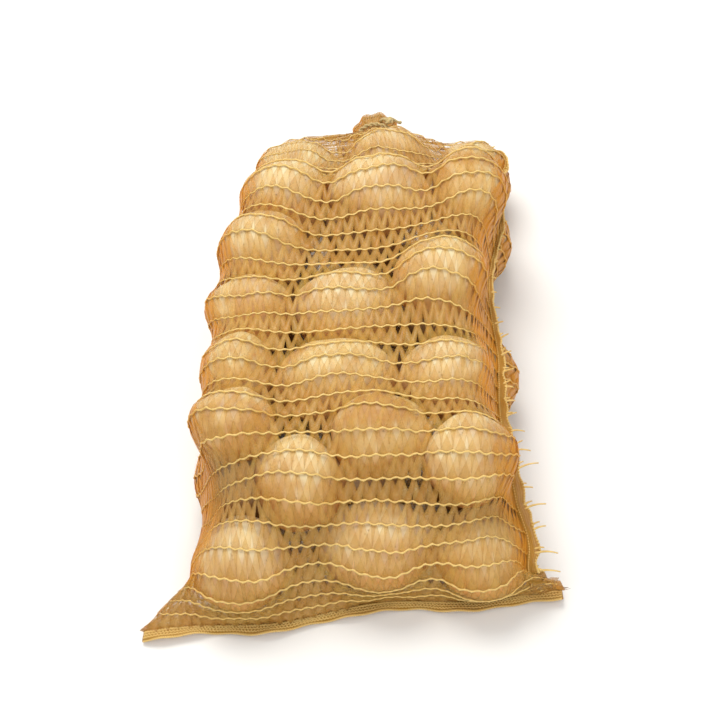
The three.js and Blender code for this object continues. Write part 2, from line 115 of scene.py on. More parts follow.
def addNode(material, kind, settings=None, links=None):
    node = material.node_tree.nodes.new("ShaderNode" + kind)
    for name, value in (settings or {}).items():
        if isinstance(name, int) or name in node.inputs:
            node.inputs[name].default_value = value
        else:
            setattr(node, name, value)
    for socket, source in (links or {}).items():
        material.node_tree.links.new(source, node.inputs[socket])
    return node


def writeAttribute(mesh, key, values):
    values = np.asarray(values, np.float32)
    kind, field = ("FLOAT_VECTOR", "vector") if values.ndim == 2 else ("FLOAT", "value")
    mesh.attributes.new(key, kind, "POINT").data.foreach_set(field, values.ravel())


def makePiece(name, points, faces, material, attributes):
    mesh = bpy.data.meshes.new(name)
    mesh.from_pydata([tuple(p) for p in points], [], [tuple(f) for f in faces])
    for key, values in attributes.items():
        writeAttribute(mesh, key, values)
    mesh.polygons.foreach_set("use_smooth", [True] * len(mesh.polygons))
    mesh.materials.append(material)
    mesh.update()
    piece = bpy.data.objects.new(name, mesh)
    bpy.context.scene.collection.objects.link(piece)
    return piece


def turnOutwards(piece):
    bm = bmesh.new()
    bm.from_mesh(piece.data)
    bmesh.ops.recalc_face_normals(bm, faces=bm.faces)
    bm.to_mesh(piece.data)
    bm.free()
    return piece


potatoLook = {
    "levels": {"foot": 2, "low": 3, "top": 2, "end": 2},  # the lower layer is coarser in the CAD
    "plump": 0.0009,
    "lump": 0.0011,
    "lumpPitch": 0.017,
    "eyes": 7,
    "eyeDepth": 0.0013,
    "eyeRadius": 0.0042,
    "rimHeight": 0.35,  # the raised rim round an eye, as shares of its depth and radius
    "rimRadius": 1.7,
    "skin": "#D8C796",
    "pale": "#E0D6B8",
    "russet": "#AA7430",
    # painted light: golden is the tint painted on the flanks, as if lit through the yellow film
    "golden": "#CE861C",
    "goldenMost": 0.7,
    "goldenLevel": 0.75,  # how golden a level flank is, and how much more the end towards the foot is
    "goldenFoot": 0.35,
    # painted shade: dim is the brown painted on the lower layer, darker towards the floor
    "dim": "#7A460C",
    "dimMost": 0.6,
    "dimFrom": 0.070,  # heights between which the lower layer fades from unshaded to painted brown shade
    "dimTo": 0.035,
    "speck": "#7A5530",
}


def potatoMaterial():
    # Potato skin: a thin dry cork layer over pale flesh. It is dull, golden tan and blotched, with pores
    skin = startMaterial("potato_skin")
    place = addNode(skin, "TexCoord").outputs["Object"]
    keys = ("tone", "under", "paintedShade")
    tone, under, paintedShade = (addNode(skin, "Attribute", {"attribute_name": key}).outputs["Fac"] for key in keys)
    # Russet blotches about 38 mm across, so each potato has two or three
    blotches = addNode(skin, "TexNoise", {"Scale": 26.0, "Detail": 4.0, "Roughness": 0.6}, {"Vector": place})
    cloudy = addNode(skin, "MapRange", {"From Min": 0.42, "From Max": 0.62},
                     {"Value": blotches.outputs["Fac"]})
    russet = addNode(skin, "MixRGB",
                     {"Color1": linear(potatoLook["skin"]), "Color2": linear(potatoLook["russet"])},
                     {"Fac": cloudy.outputs["Result"]})
    # Each potato is paler or darker than the next
    paleShare = addNode(skin, "MapRange", {"To Max": 0.45}, {"Value": tone})
    body = addNode(skin, "MixRGB", {"Color2": linear(potatoLook["pale"])},
                   {"Fac": paleShare.outputs["Result"], "Color1": russet.outputs["Color"]})
    # Painted light: the flanks are tinted golden, as if lit through the yellow film
    golden = addNode(skin, "MixRGB", {"Color2": linear(potatoLook["golden"])},
                     {"Fac": under, "Color1": body.outputs["Color"]})
    # Painted shade: the lower layer is painted dim brown, darker towards the floor
    dimmed = addNode(skin, "MixRGB", {"Color2": linear(potatoLook["dim"])},
                     {"Fac": paintedShade, "Color1": golden.outputs["Color"]})
    # Pores about 1 mm wide and 4 mm apart, in patches about 14 mm across
    pores = addNode(skin, "TexVoronoi", {"Scale": 260.0}, {"Vector": place})
    poreShare = addNode(skin, "MapRange", {"From Min": 0.10, "From Max": 0.22, "To Min": 0.6, "To Max": 0.0},
                        {"Value": pores.outputs["Distance"]})
    patches = addNode(skin, "TexNoise", {"Scale": 70.0, "Detail": 2.0}, {"Vector": place})
    some = addNode(skin, "MapRange", {"From Min": 0.48, "From Max": 0.62},
                   {"Value": patches.outputs["Fac"]})
    poreMask = addNode(skin, "Math", {"operation": "MULTIPLY"},
                       {0: poreShare.outputs["Result"], 1: some.outputs["Result"]})
    pored = addNode(skin, "MixRGB", {"Color2": linear(potatoLook["speck"])},
                    {"Fac": poreMask.outputs["Value"], "Color1": dimmed.outputs["Color"]})
    # The skin's own roughness is under 0.5 mm, too fine to show, so it is drawn at 2.4 mm and finer
    fine = addNode(skin, "TexNoise", {"Scale": 420.0, "Detail": 4.0, "Roughness": 0.6}, {"Vector": place})
    height = addNode(skin, "Math", {"operation": "SUBTRACT"},
                     {0: fine.outputs["Fac"], 1: poreMask.outputs["Value"]})
    bump = addNode(skin, "Bump", {"Strength": 0.35, "Distance": 0.0008},
                   {"Height": height.outputs["Value"]})
    shader = addNode(skin, "BsdfPrincipled", {"Roughness": 0.58, "IOR": 1.45},
                     {"Base Color": pored.outputs["Color"], "Normal": bump.outputs["Normal"]})
    addNode(skin, "OutputMaterial", {}, {"Surface": shader.outputs["BSDF"]})
    return skin


def roundCopy(name):
    # The CAD potato's mesh, merged and made round
    mesh = bpy.data.meshes.new(name + "_skin")
    bm = bmesh.new()
    bm.from_mesh(nodes[name].data)
    bmesh.ops.remove_doubles(bm, verts=bm.verts, dist=1e-5)
    bm.to_mesh(mesh)
    bm.free()
    potato = bpy.data.objects.new(name + "_skin", mesh)
    bpy.context.scene.collection.objects.link(potato)
    bpy.context.view_layer.objects.active = potato
    potato.select_set(True)
    rounder = potato.modifiers.new("rounder", "SUBSURF")
    rounder.levels = rounder.render_levels = potatoLook["levels"][name.split("_")[1]]
    bpy.ops.object.modifier_apply(modifier=rounder.name)
    potato.select_set(False)
    return potato


def addLumps(mesh, chance):
    # Broad lumps all over, and eyes: small hollows with a raised rim
    middle = sum((v.co for v in mesh.vertices), Vector()) / len(mesh.vertices)
    eyes = []
    for _ in range(potatoLook["eyes"]):
        eyes.append(Vector([chance.gauss(0, 1) for _ in range(3)]).normalized())
    offset = Vector([chance.uniform(-9, 9) for _ in range(3)])
    moved = []
    for v in mesh.vertices:
        way = (v.co - middle).normalized()
        radius = (v.co - middle).length
        lump = noise.noise(v.co / potatoLook["lumpPitch"] + offset)
        rise = potatoLook["plump"] + potatoLook["lump"] * lump
        for eye in eyes:
            far = (way - eye).length * radius / potatoLook["eyeRadius"]
            if far < 3:
                rim = potatoLook["rimHeight"] * math.exp(-((far - potatoLook["rimRadius"]) ** 2) * 2)
                rise -= potatoLook["eyeDepth"] * (math.exp(-far * far) - rim)
        moved.append(v.co + v.normal * rise)
    for v, place in zip(mesh.vertices, moved):
        v.co = place


def growPotato(name, seed, skin):
    chance = random.Random(seed)
    potato = roundCopy(name)
    mesh = potato.data
    mesh.materials.append(skin)
    mesh.polygons.foreach_set("use_smooth", [True] * len(mesh.polygons))
    addLumps(mesh, chance)
    writeAttribute(mesh, "tone", [chance.random()] * len(mesh.vertices))
    # Painted light: a potato's flanks, turned away from the top and towards the foot, are painted golden, as
    # if lit
    # through the yellow film. Painted shade: the lower layer is painted brown, darker towards the floor
    under, paintedShade = [], []
    for v in mesh.vertices:
        turned = potatoLook["goldenLevel"] * (1 - v.normal.z) - potatoLook["goldenFoot"] * v.normal.y
        under.append(potatoLook["goldenMost"] * min(max(turned, 0), 1))
        unshaded = (v.co.z - potatoLook["dimTo"]) / (potatoLook["dimFrom"] - potatoLook["dimTo"])
        dim = potatoLook["dimMost"] * (1 - min(max(unshaded, 0), 1))
        paintedShade.append(dim if name.startswith("potato_low") else 0.0)
    writeAttribute(mesh, "under", under)
    writeAttribute(mesh, "paintedShade", paintedShade)
    return potato


def joinPieces(pieces, name):
    bpy.ops.object.select_all(action="DESELECT")
    for piece in pieces:
        piece.select_set(True)
    bpy.context.view_layer.objects.active = pieces[0]
    bpy.ops.object.join()
    joined = bpy.context.view_layer.objects.active
    joined.name = joined.data.name = name
    joined.select_set(False)
    return joined


skinMaterial = potatoMaterial()
potatoPieces = []
for layer in ("foot", "low", "top", "end"):
    names = sorted(n for n in nodes if n.startswith("potato_" + layer))
    grown = [growPotato(n, 40 + 7 * k + len(layer), skinMaterial) for k, n in enumerate(names)]
    piece = joinPieces(grown, "potatoes_" + layer)
    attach(piece, "root")
    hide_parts(*names)
    potatoPieces.append(piece)
print("potatoes grown:", sum(len(p.data.vertices) for p in potatoPieces), "points")


netLook = {
    "rows": 36,  # rows of stitches from foot to neck, and beyond the neck
    "frillRows": 3,
    "ringsPerRow": 4,
    "loops": 76,  # round the sack
    "columnsPerLoop": 2,
    "lengthwise": 0.62,  # how much of the pull runs along the sack
    "clearance": 0.0009,
    "pulls": 500,
    "sag": 0.00008,
    "sideSag": 0.3,
    "evening": 70,
    "castFrom": 0.06,  # how far out the search for potatoes starts
    "touchReach": 0.011,
    "lowest": 0.0009,
    # Rings of drift, waves round the sack, where they start, and how they turn along it
    "drift": [(1.3, 1, 2.4, 0), (0.9, 3, 0, 0.06), (0.5, 7, 0, 0.17)],
    "driftFade": 12,
    "neckFrom": 0.86,  # where the pleats of the drawn neck begin
    "neckPleats": 23,
    "neckDepth": 0.0016,
    "footTo": 0.07,  # where the ruffles of the flat foot end
    "footRuffles": 17,
    "footDepth": 0.0010,
}
around = netLook["loops"] * netLook["columnsPerLoop"]
along = netLook["rows"] * netLook["ringsPerRow"]
frillAlong = netLook["frillRows"] * netLook["ringsPerRow"]


def widthAt(y):
    share = np.clip(y / sack["pileLength"] + 0.5, 0, 1)
    return sack["pileFootWidth"] + (sack["pileMouthWidth"] - sack["pileFootWidth"]) * share


def stationAt(share):
    # The stations joined by a smooth curve, read at a share of the way from foot to neck
    rows = np.array(sack["stations"])
    at = min(share * (len(rows) - 1), len(rows) - 1 - 1e-9)
    k = int(at)
    t = at - k
    p = [rows[max(k - 1, 0)], rows[k], rows[k + 1], rows[min(k + 2, len(rows) - 1)]]
    v0, v1 = (p[2] - p[0]) / 2, (p[3] - p[1]) / 2
    curve = (2 * p[1] - 2 * p[2] + v0 + v1) * t**3 + (-3 * p[1] + 3 * p[2] - 2 * v0 - v1) * t**2
    return curve + v0 * t + p[1]


def roundedRing(halfWidth, halfHeight, cornerRadius):
    # A box with round corners, walked at even steps: how far aside and how high each point lies
    corner = min(cornerRadius, halfWidth, halfHeight)
    upright = halfHeight - corner
    bend = corner * math.pi / 2
    quarter = upright + bend + halfWidth - corner
    turn = np.arange(around) / around
    half = np.where(turn < 0.5, 2 * turn, 2 - 2 * turn)
    way = quarter * np.where(half < 0.5, 2 * half, 2 - 2 * half)
    angle = np.clip((way - upright) / corner, 0, math.pi / 2)
    flat = np.maximum(way - upright - bend, 0)
    x = halfWidth - corner + corner * np.cos(angle) - flat
    z = np.minimum(way, upright) + corner * np.sin(angle)
    return np.where(half < 0.5, x, -x), np.where(turn < 0.5, z, -z)


def hemSwayAt(x):
    share = x / sack["sackWidth"]
    wave = np.sin(2 * math.pi * (sack["hemWaves"] * share + 0.125))
    return sack["hemSkew"] * x + sack["hemSway"] * wave * (1 - 4 * share * share)


def neckRing(behind, radiusAt):
    angle = 2 * math.pi * np.arange(around) / around
    radius = radiusAt(angle)
    local = np.stack([radius * np.cos(angle), np.full(around, behind), radius * np.sin(angle)], 1)
    ring = local @ np.array(neckTurn).T + np.array(neckCentre)
    ring[:, 2] = np.maximum(ring[:, 2], 2 * sack["netWall"])
    return ring


def slackRing(share):
    crestAlong, crestHeight, keelAlong, width, aside = stationAt(share)
    crestTop = sack["netWall"] + crestHeight * sack["potatoDepth"]
    keel = np.array([0, keelAlong * sack["pileLength"], sack["netWall"]])
    crest = np.array([0, crestAlong * sack["pileLength"], crestTop])
    halfHeight = np.linalg.norm(crest - keel) / 2
    halfWidth = width * widthAt(crest[1]) / 2
    x, level = roundedRing(halfWidth, halfHeight, 0.5 * sack["potatoWidth"])
    lift = ((level / halfHeight + 1) / 2)[:, None]
    ring = keel + (crest - keel) * lift
    ring[:, 0] = x + aside * widthAt(crest[1])
    ring[:, 1] += max(1 - share * (sack["rounds"] - 1) / sack["slantRounds"], 0) * hemSwayAt(x)
    return ring


def slackSack():
    rings = []
    lastShare = (sack["rounds"] - 1) / sack["rounds"]
    neck = neckRing(0, lambda angle: np.full_like(angle, sack["neckRadius"]))
    for j in range(along + 1):
        share = j / along
        if share <= lastShare:
            rings.append(slackRing(share / lastShare))
        else:
            mix = (share - lastShare) / (1 - lastShare)
            rings.append((1 - mix) * slackRing(1) + mix * neck)
    return np.array(rings)


def normalsOf(rings):
    after = np.concatenate([rings[1:], rings[-1:]])
    before = np.concatenate([rings[:1], rings[:-1]])
    left, right = np.roll(rings, -1, 1), np.roll(rings, 1, 1)
    return unit(np.cross(after - before, left - right))


def evened(ways, passes):
    for _ in range(passes):
        after = np.concatenate([ways[1:], ways[-1:]])
        before = np.concatenate([ways[:1], ways[:-1]])
        ways = unit(ways + np.roll(ways, 1, 1) + np.roll(ways, -1, 1) + after + before)
    return ways


def treeOf(pieces):
    points, faces = [], []
    for piece in pieces:
        start = len(points)
        points += [v.co.copy() for v in piece.data.vertices]
        faces += [[start + k for k in p.vertices] for p in piece.data.polygons]
    return BVHTree.FromPolygons(points, faces)


def potatoStops(slack, ways):
    # How far in each point can slide before it meets a potato, or -1 where it meets none
    tree = treeOf(potatoPieces)
    reach = netLook["castFrom"]
    stops = np.full(slack.shape[:2], -1.0)
    for j in range(1, along):
        for i in range(around):
            start = Vector(slack[j, i] + reach * ways[j, i])
            hit = tree.ray_cast(start, Vector(-ways[j, i]), 2 * reach)
            if hit[0] is not None:
                stops[j, i] = reach - hit[3] + netLook["clearance"]
    return stops


def pullOverPotatoes():
    # Each point slides only in and out on its own line, stops at the potatoes and is pulled by its
    # neighbours. The net also sags onto the potatoes from above, and hardly at the sides
    slack = slackSack() + np.array(shift)
    ways = evened(normalsOf(slack), netLook["evening"])
    stops = potatoStops(slack, ways)
    net = slack.copy()
    pull = netLook["lengthwise"]
    sag = netLook["sag"] * (netLook["sideSag"] + np.clip(ways[1:-1, :, 2], 0, 1))
    for _ in range(netLook["pulls"]):
        target = pull / 2 * (net[2:] + net[:-2])
        target += (1 - pull) / 2 * (np.roll(net, 1, 1) + np.roll(net, -1, 1))[1:-1]
        slide = np.sum((target - slack[1:-1]) * ways[1:-1], axis=2) - sag
        slide = np.maximum(slide, stops[1:-1])
        net[1:-1] = slack[1:-1] + slide[..., None] * ways[1:-1]
        net[..., 2] = np.maximum(net[..., 2], netLook["lowest"])
    free = np.zeros(slack.shape[:2])
    free[1:-1] = slide - stops[1:-1]
    free[stops < -0.5] = 1
    return net, np.exp(-((free / netLook["touchReach"]) ** 2))


def frillRings():
    rings = []
    for j in range(1, frillAlong + 1):
        behind = j / frillAlong * (neckStraight + sack["frillLength"])
        opened = min(max((behind - neckStraight) / sack["frillLength"], 0), 1)
        wider = (sack["frillRadius"] - sack["neckRadius"]) * math.sin(2.2 * opened)
        middle = sack["neckRadius"] + wider
        pleat = 0.06 * opened * sack["frillRadius"]
        ring = neckRing(behind, lambda angle: middle + pleat * np.cos(sack["frillPleats"] * angle))
        rings.append(ring + np.array(shift))
    return np.array(rings)


def addCreases(net):
    # The drawn neck gathers the net in pleats, and the flat foot is a little ruffled
    share = np.arange(len(net)) / along
    angle = 2 * math.pi * np.arange(around) / around
    gathered = np.clip((share - netLook["neckFrom"]) / (1 - netLook["neckFrom"]), 0, 1)
    gathered = gathered * np.clip((1.03 - share) / 0.05, 0, 1)
    folds = np.cos(netLook["neckPleats"] * angle + 1.5 * np.sin(3 * angle))
    footed = np.clip(1 - share / netLook["footTo"], 0, 1) * np.clip(share / 0.015, 0, 1)
    ruffles = netLook["footDepth"] * footed[:, None] * np.cos(netLook["footRuffles"] * angle)
    depth = netLook["neckDepth"] * gathered[:, None] * folds + ruffles
    net = net + normalsOf(net) * depth[..., None]
    net[..., 2] = np.maximum(net[..., 2], netLook["lowest"])
    return net


body, bodyTouch = pullOverPotatoes()
net = addCreases(np.concatenate([body, frillRings()]))
netTouch = np.concatenate([bodyTouch, np.zeros((frillAlong, around))])
netWays = normalsOf(net)
print("net pulled over the potatoes:", net.shape)


def drifted(rings, columns):
    # The rows of stitches don't lie quite square to the sack
    turn = 2 * math.pi * columns / around
    fromFoot, fromNeck = rings / netLook["driftFade"], (along - rings) / netLook["driftFade"]
    drift = 0
    for size, waves, start, twist in netLook["drift"]:
        drift = drift + size * np.sin(waves * turn + start + twist * rings)
    return rings + np.clip(fromFoot, 0, 1) * np.clip(fromNeck, 0, 1) * drift


def onNet(rings, columns):
    # Points and outward directions on the net's surface at any ring and column, whole or not
    rings = np.clip(drifted(rings, columns), 0, len(net) - 1 - 1e-6)
    j, i = np.floor(rings).astype(int), np.floor(columns).astype(int)
    u, v = (rings - j)[..., None], (columns - i)[..., None]
    found = []
    for values in (net, netWays):
        a, b = values[j, i % around], values[j, (i + 1) % around]
        c, d = values[j + 1, i % around], values[j + 1, (i + 1) % around]
        found.append((1 - u) * ((1 - v) * a + v * b) + u * ((1 - v) * c + v * d))
    return found[0], unit(found[1])


def touchAt(rings, columns):
    # How closely the net lies on a potato there: 1 where it touches, 0 where it spans a gap
    j = np.clip(np.round(drifted(rings, columns)).astype(int), 0, len(net) - 1)
    return netTouch[j, np.round(columns).astype(int) % around]


def sideways(ways):
    # 1 where the net faces left or right, 0 where it faces up, down or along
    return np.clip((np.abs(ways[..., 0]) - 0.5) / 0.4, 0, 1)


def placeRows():
    # Rings at which the rows of stitches lie: even along the crest, closer together at the foot and the neck
    crest = net[: along + 1, around // 4 - 8 : around // 4 + 9]
    steps = np.linalg.norm(np.diff(crest, axis=0), axis=2).mean(1)
    way = np.concatenate([[0], np.cumsum(steps)])
    k = np.arange(netLook["rows"])
    gaps = 1 - 0.6 * np.exp(-k / 2.0) - 0.45 * np.exp(-(netLook["rows"] - 1 - k) / 2.5)
    crestPlaces = np.concatenate([[0], np.cumsum(gaps) / gaps.sum() * way[-1]])
    frill = along + np.arange(1, netLook["frillRows"] + 1) * frillAlong / netLook["frillRows"]
    return np.concatenate([np.interp(crestPlaces, way, np.arange(along + 1)), frill])


rowPlaces = placeRows()


def makeTube(path, widths, ups, sides, closed):
    # A round tube along a path: its points, faces and pattern places, capped at its ends unless it runs round
    count = len(path)
    ahead = np.roll(path, -1, 0) - np.roll(path, 1, 0)
    if not closed:
        ahead[0], ahead[-1] = path[1] - path[0], path[-1] - path[-2]
    ahead = unit(ahead)
    across = unit(np.cross(ahead, ups))
    up = np.cross(across, ahead)
    widths = np.broadcast_to(np.asarray(widths), (count,))[:, None]
    points, faces = [], []
    for n in range(sides):
        angle = 2 * math.pi * n / sides
        points.append(path + widths * (math.cos(angle) * across + math.sin(angle) * up))
    last = count if closed else count - 1
    for n in range(sides):
        a, b = n * count, (n + 1) % sides * count
        faces += [(a + k, a + (k + 1) % count, b + (k + 1) % count, b + k) for k in range(last)]
    if not closed:
        faces.append(tuple(n * count for n in range(sides)))
        faces.append(tuple(n * count + count - 1 for n in reversed(range(sides))))
    turns = np.repeat(np.arange(sides) / sides, count)
    places = np.stack([turns, np.tile(np.arange(count) * 0.25, sides), np.zeros(sides * count)], 1)
    return np.concatenate(points), faces, places


def startBundle():
    # Tubes and strips that become one piece. The tone varies their streaks, touch says how closely they lie
    # on a potato, and side how far they face left or right
    return {"points": [], "faces": [], "place": [], "tone": [], "touch": [], "side": [], "count": 0}


def addToBundle(bundle, points, faces, places, tone=0.0, touch=0.0, side=0.0):
    bundle["faces"] += [tuple(bundle["count"] + n for n in face) for face in faces]
    bundle["points"].append(points)
    bundle["place"].append(places)
    for key, value in (("tone", tone), ("touch", touch), ("side", side)):
        bundle[key].append(np.broadcast_to(value, (len(points),)))
    bundle["count"] += len(points)


def makeBundle(bundle, name, material):
    attributes = {key: np.concatenate(bundle[key]) for key in ("place", "tone", "touch", "side")}
    return makePiece(name, np.concatenate(bundle["points"]), bundle["faces"], material, attributes)


def yarnMaterial(name, look):
    # Stretched polyethylene tape: a thin waxy plastic film, split into fine lengthwise threads, so it is
    # streaky. Where it lies on a potato it is more see-through and painted a lighter golden, as painted
    # light; where it spans a gap it is painted a darker tan, as painted shade. Along the sack's sides it is
    # painted deeper orange
    # and more opaque: partly the net seen edge-on, partly painted shade of the potatoes behind
    yarn = startMaterial(name)
    keys = ("tone", "touch", "side")
    tone, touch, side = (addNode(yarn, "Attribute", {"attribute_name": key}).outputs["Fac"] for key in keys)
    place = addNode(yarn, "Attribute", {"attribute_name": "place"}).outputs["Vector"]
    # Places run from 0 to 1 across a tape about 5 mm wide, and round a yarn about 4 mm round. The threads are
    # under 0.1 mm, too fine to show, so the streaks are drawn about 0.3 mm wide
    stretched = addNode(yarn, "Mapping", {"Scale": (5.0, 0.6, 1.0)}, {"Vector": place})
    threads = addNode(yarn, "TexNoise", {"Scale": 3.0, "Detail": 3.0, "Roughness": 0.6},
                      {"Vector": stretched.outputs["Vector"]})
    streaks = addNode(yarn, "MapRange", {"From Min": 0.35, "From Max": 0.7, "To Max": 0.6},
                      {"Value": threads.outputs["Fac"]})
    varied = addNode(yarn, "Math", {"operation": "MULTIPLY_ADD", 1: 0.35},
                     {0: tone, 2: streaks.outputs["Result"]})
    # Painted light and shade: golden where the tape lies on a potato, darker tan where it spans a gap
    plain = addNode(yarn, "MixRGB", {"Color1": linear(look["yarn"]), "Color2": linear(look["golden"])},
                    {"Fac": touch})
    streaked = addNode(yarn, "MixRGB", {"Color2": linear(look["deep"])},
                       {"Fac": varied.outputs["Value"], "Color1": plain.outputs["Color"]})
    # Where the net faces left or right it is painted deeper orange and denser: partly the net seen edge-on,
    # partly painted shade
    colour = addNode(yarn, "MixRGB", {"Color2": linear(look["side"])},
                     {"Fac": side, "Color1": streaked.outputs["Color"]})
    clear = addNode(yarn, "MapRange", {"To Min": look["alpha"], "To Max": look["touchingAlpha"]},
                    {"Value": touch})
    dense = addNode(yarn, "MapRange", {"To Max": look["sideAlpha"]}, {"Value": side})
    alpha = addNode(yarn, "Math", {"operation": "MAXIMUM"},
                    {0: clear.outputs["Result"], 1: dense.outputs["Result"]})
    bump = addNode(yarn, "Bump", {"Strength": 0.3, "Distance": 0.0002}, {"Height": threads.outputs["Fac"]})
    shader = addNode(yarn, "BsdfPrincipled", {"Roughness": look["roughness"], "IOR": 1.5},
                     {"Base Color": colour.outputs["Color"], "Normal": bump.outputs["Normal"],
                      "Alpha": alpha.outputs["Value"]})
    addNode(yarn, "OutputMaterial", {}, {"Surface": shader.outputs["BSDF"]})
    return yarn


chainLook = {
    "samples": 6,  # along each loop
    "sides": 5,
    "halfWidth": 0.0007,
    "bulge": 0.22,  # how much thicker the yarn is where two loops meet
    "wave": 0.0007,
    "unevenness": 0.35,
    "lift": 0.0005,
    "fullPitch": 0.0085,  # loops closer together than this are smaller
    "smallest": 0.3,
    "lowest": 0.00095,
    "yarn": "#E9CC82",
    "golden": "#ECD48A",
    "deep": "#CC9A38",
    # side: the deeper orange painted where the net faces left or right, partly painted shade
    "side": "#D9A040",
    "roughness": 0.45,
    "alpha": 1.0,
    "touchingAlpha": 1.0,
    "sideAlpha": 1.0,
}


def makeChains(material):
    # Rows of knitted stitches round the sack: wavy yarns, each row half a loop further on than the last
    chance = np.random.default_rng(11)
    samples = chainLook["samples"]
    count = netLook["loops"] * samples
    phase = np.arange(count) / samples
    chains = startBundle()
    for row, ring in enumerate(rowPlaces[1:]):
        columns = phase * netLook["columnsPerLoop"] + (row % 2) * netLook["columnsPerLoop"] / 2
        centre, way = onNet(np.full(count, float(ring)), columns)
        onward = unit(centre - onNet(np.full(count, ring - 0.5), columns)[0])
        pitch = np.linalg.norm(np.roll(centre, -1, 0) - centre, axis=1, keepdims=True) * samples
        size = np.clip(pitch / chainLook["fullPitch"], chainLook["smallest"], 1.0)
        wobble = chance.normal(0, chainLook["unevenness"], (netLook["loops"], 1)).repeat(samples, 0)
        wave = np.cos(2 * math.pi * phase)[:, None] + wobble
        path = centre + onward * chainLook["wave"] * wave * size + way * chainLook["lift"] * size
        path[:, 2] = np.maximum(path[:, 2], chainLook["lowest"])
        thick = chainLook["halfWidth"] * size[:, 0] * (1 + chainLook["bulge"] * np.cos(4 * math.pi * phase))
        points, faces, places = makeTube(path, thick, way, chainLook["sides"], True)
        places[:, 2] = row * 3.1  # so that no two rows have the same streaks
        turned = np.tile(sideways(way), chainLook["sides"])
        addToBundle(chains, points, faces, places, 0.3 * chance.random(), 0.0, turned)
    return makeBundle(chains, "net_chains", material)


tapeLook = {
    "share": 0.62,  # of the pitch between two loops
    "thick": 0.00022,
    "stations": 4,  # along each tape
    "pinchFoot": 1.45,  # wide where it starts and narrow where two tapes meet in the next row
    "pinchTaper": 0.8,
    "pinchMiddle": 0.1,
    "narrowest": 0.65,
    "widest": 1.25,
    "tilt": 0.0002,
    "strayColumns": 0.09,
    "overlap": 0.0003,  # the tapes that slant back lie on top
    "lowest": 0.0002,
    # yarn is painted darker where the tape spans a gap, as painted shade; golden is painted lighter where it
    # lies on a potato, as painted light
    "yarn": "#CCA65C",
    "golden": "#E6BE5C",
    "deep": "#B27008",
    # side: the deeper orange painted where the net faces left or right, partly painted shade
    "side": "#D68F22",
    "roughness": 0.38,
    "alpha": 0.44,
    "touchingAlpha": 0.2,
    "sideAlpha": 0.75,
}


def tapeFaces():
    # A flat closed strip with four corners at each station
    stations = tapeLook["stations"]
    faces = []
    for m in range(stations - 1):
        for c in range(4):
            a, b = 4 * m + c, 4 * m + (c + 1) % 4
            faces.append((a, b, b + 4, a + 4))
    end = 4 * (stations - 1)
    return faces + [(3, 2, 1, 0), (end, end + 1, end + 2, end + 3)]


def makeTapes(material):
    # Two tapes slant from each loop to the row above and meet there, so that the holes are narrow and pointed
    chance = np.random.default_rng(5)
    loops, stations = netLook["loops"], tapeLook["stations"]
    share = np.linspace(0, 1, stations)
    loop = np.arange(loops, dtype=float)
    faces = tapeFaces()
    tapes = startBundle()
    for row in range(len(rowPlaces) - 1):
        low, high = rowPlaces[row], rowPlaces[row + 1]
        # The tapes are crowded together at the foot and the neck
        crowd = 1 + 0.55 * math.exp(-row / 2.0) + 0.4 * math.exp(-max(netLook["rows"] - 1 - row, 0) / 1.5)
        for back in (0, 1):
            bottom, top = loop + back, loop + 0.5
            column = bottom[:, None] + (top - bottom)[:, None] * share[None] + 0.5 * (row % 2)
            stray = chance.normal(0, tapeLook["strayColumns"], (loops, 1))
            column = column * netLook["columnsPerLoop"] + stray
            ring = np.broadcast_to(low + (high - low) * share, (loops, stations))
            centre, way = onNet(ring, column)
            touch = touchAt(ring, column).repeat(4, 1)
            turned = sideways(way).repeat(4, 1)
            beside = onNet(ring, column + netLook["columnsPerLoop"])[0]
            pitch = np.linalg.norm(beside - centre, axis=2, keepdims=True)
            across = unit(np.cross(unit(np.gradient(centre, axis=1)), way))
            pinch = tapeLook["pinchFoot"] - tapeLook["pinchTaper"] * share
            pinch = (pinch - tapeLook["pinchMiddle"] * np.sin(math.pi * share))[None, :, None]
            own = chance.uniform(tapeLook["narrowest"], tapeLook["widest"], (loops, 1, 1))
            half = 0.5 * tapeLook["share"] * crowd * pitch * pinch * own
            tilt = way * chance.normal(0, tapeLook["tilt"], (loops, 1, 1))
            centre = centre + way * (tapeLook["overlap"] * back)
            thick = way * tapeLook["thick"] / 2
            corners = [
                centre - across * half - thick - tilt,
                centre + across * half - thick + tilt,
                centre + across * half + thick + tilt,
                centre - across * half + thick - tilt,
            ]
            blocks = np.stack(corners, 2).reshape(loops, stations * 4, 3)
            blocks[..., 2] = np.maximum(blocks[..., 2], tapeLook["lowest"])
            places = np.zeros((stations, 4, 3))
            places[..., 0] = np.array([0, 1, 1, 0])
            places[..., 1] = share[:, None] * 1.6
            for n in range(loops):
                places[..., 2] = chance.uniform(0, 50)
                placed = places.reshape(-1, 3).copy()
                addToBundle(tapes, blocks[n], faces, placed, chance.random(), touch[n], turned[n])
    return makeBundle(tapes, "net_tapes", material)


chainMaterial = yarnMaterial("chain_yarn", chainLook)
tapeMaterial = yarnMaterial("tape_yarn", tapeLook)
chains = makeChains(chainMaterial)
tapes = makeTapes(tapeMaterial)
tapes.visible_shadow = False  # the film lets the light through to what lies under it
for piece in (chains, tapes):
    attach(piece, "root")
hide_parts("net_wall")
print("net knitted:", len(chains.data.polygons), "and", len(tapes.data.polygons), "faces")


